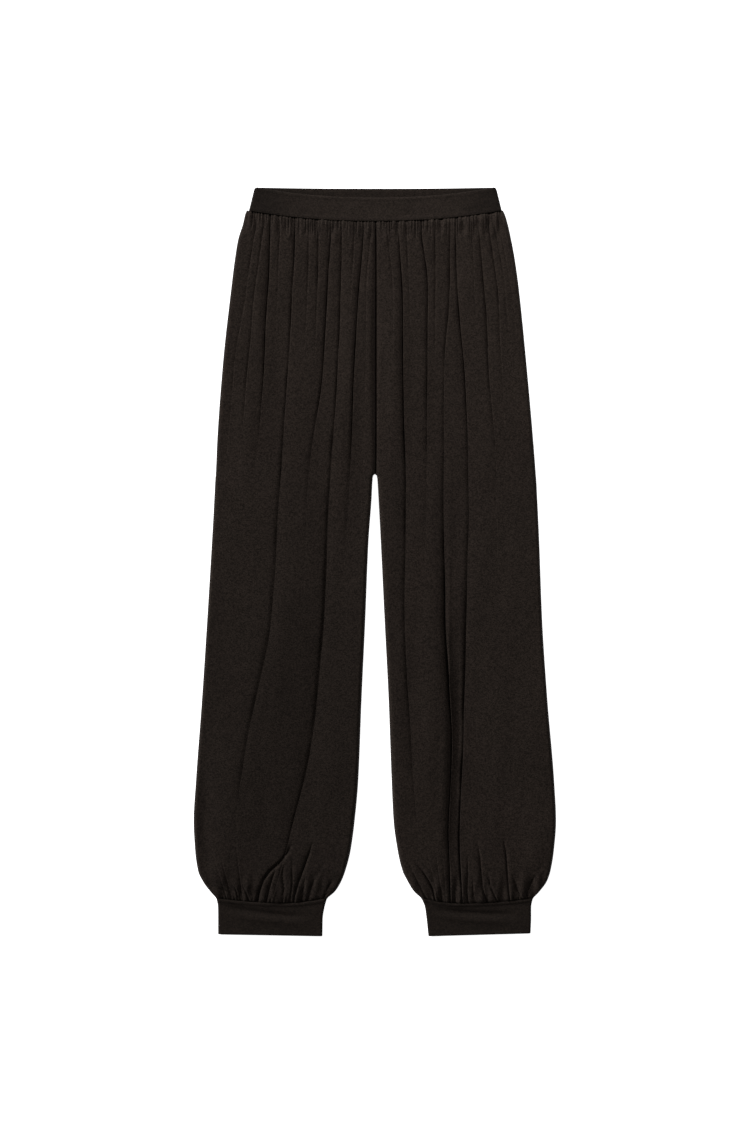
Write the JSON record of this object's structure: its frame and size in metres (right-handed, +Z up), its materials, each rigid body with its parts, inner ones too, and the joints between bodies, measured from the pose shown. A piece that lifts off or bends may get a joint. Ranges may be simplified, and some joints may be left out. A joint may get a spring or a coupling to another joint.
{
  "type": "harem pants",
  "caption": "Long pull-on harem pants laid flat, full legs gathered into an elastic waistband and into plain deep ankle cuffs",
  "frame": {"origin": "Bottom centre of the bounding box: on the surface that the pants lie on, at the middle of the whole outline.", "axes": "+X runs across the front to the wearer's left, which is the picture's right. +Y runs up the legs to the waistband. +Z is up off the surface, out of the front side."},
  "size_m": [0.4836, 1, 0.0146],
  "materials": {
    "leg_jersey": "soft matt mid-weight jersey with a fine pebbled, slightly heathered grain, dark brown black",
    "band_jersey": "the same jersey doubled over elastic, smooth and matt, dark brown black",
    "cuff_jersey": "the same jersey doubled, smooth and matt, dark brown black"
  },
  "bodies": {
    "root": {"front_leg_right": "leg_jersey", "back_leg_right": "leg_jersey", "cuff_right": "cuff_jersey", "front_leg_left": "leg_jersey", "back_leg_left": "leg_jersey", "cuff_left": "cuff_jersey", "waistband": "band_jersey"}
  },
  "joints": []
}
